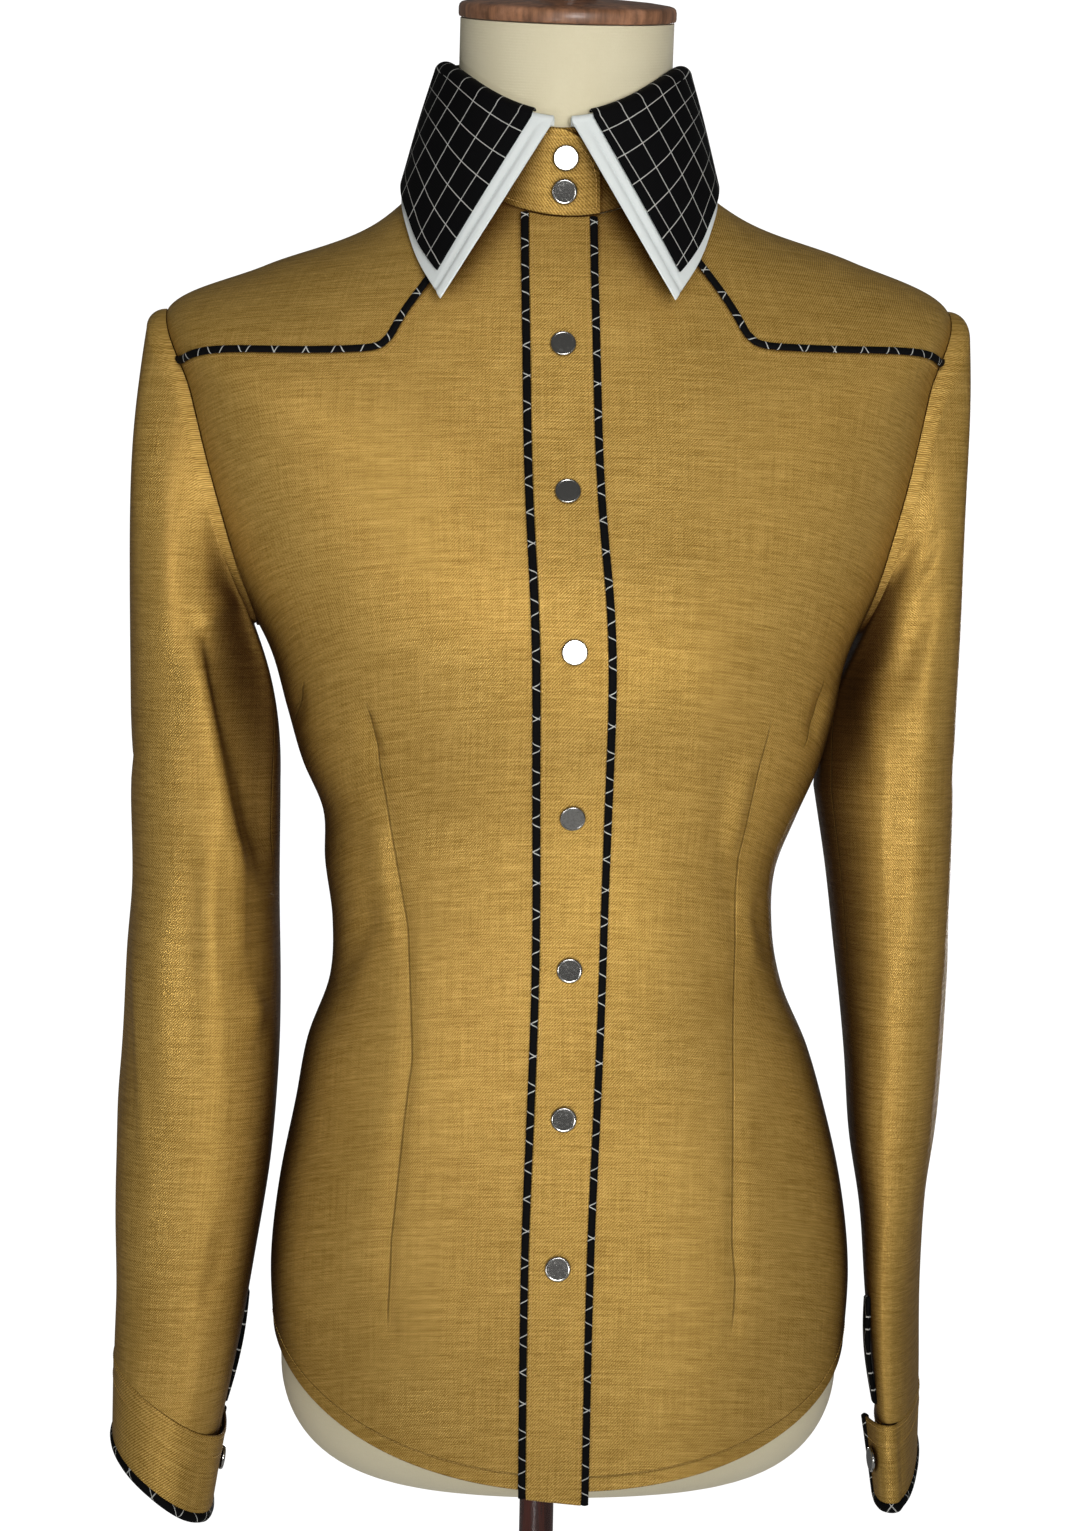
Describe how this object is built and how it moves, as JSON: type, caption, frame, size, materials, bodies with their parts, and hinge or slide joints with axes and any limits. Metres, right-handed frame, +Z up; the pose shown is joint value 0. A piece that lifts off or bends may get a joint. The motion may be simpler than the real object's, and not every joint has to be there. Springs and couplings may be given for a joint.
{
  "type": "western snap shirt on a dress form",
  "caption": "Long-sleeved western shirt with pointed contrast collar, piped yokes and snap placket, worn by a limbless dress form on a pole and round base.",
  "frame": {"origin": "middle of the stand's underside, on the floor", "axes": "+Z up, the shirt's front faces -Y, the wearer's right is at -X"},
  "size_m": [0.4271, 0.36, 1.5427],
  "materials": {
    "tan_twill": "worsted twill with a soft sheen",
    "black_windowpane": "black cloth with a fine white windowpane check on the bias",
    "white_cotton": "plain white cotton",
    "snap_metal": "polished flat caps",
    "form_jersey": "cream jersey stretched over the form",
    "worn_wood": "worn brown stain",
    "dark_wood": "dark glossy stain"
  },
  "bodies": {
    "root": {"front_right": "tan_twill", "front_left": "tan_twill", "back": "tan_twill", "yoke_front_right": "tan_twill", "yoke_front_left": "tan_twill", "yoke_back": "tan_twill", "placket": "tan_twill", "collar_stand": "tan_twill", "sleeve_right": "tan_twill", "sleeve_left": "tan_twill", "cuff_right": "tan_twill", "cuff_left": "tan_twill", "piping_placket_right": "black_windowpane", "piping_placket_left": "black_windowpane", "piping_yoke_right": "black_windowpane", "piping_yoke_left": "black_windowpane", "collar_black": "black_windowpane", "sleeve_binding_right": "black_windowpane", "sleeve_binding_left": "black_windowpane", "piping_cuff_right": "black_windowpane", "piping_cuff_left": "black_windowpane", "collar_white": "white_cotton", "snap_front_1": "snap_metal", "snap_front_2": "snap_metal", "snap_front_3": "snap_metal", "snap_front_4": "snap_metal", "snap_front_5": "snap_metal", "snap_front_6": "snap_metal", "snap_front_7": "snap_metal", "snap_collar_1": "snap_metal", "snap_collar_2": "snap_metal", "snap_cuff_right": "snap_metal", "snap_cuff_left": "snap_metal", "form_torso": "form_jersey", "form_neck_cap": "worn_wood", "form_finial": "dark_wood", "stand_pole": "dark_wood", "stand_base": "dark_wood"}
  },
  "joints": []
}
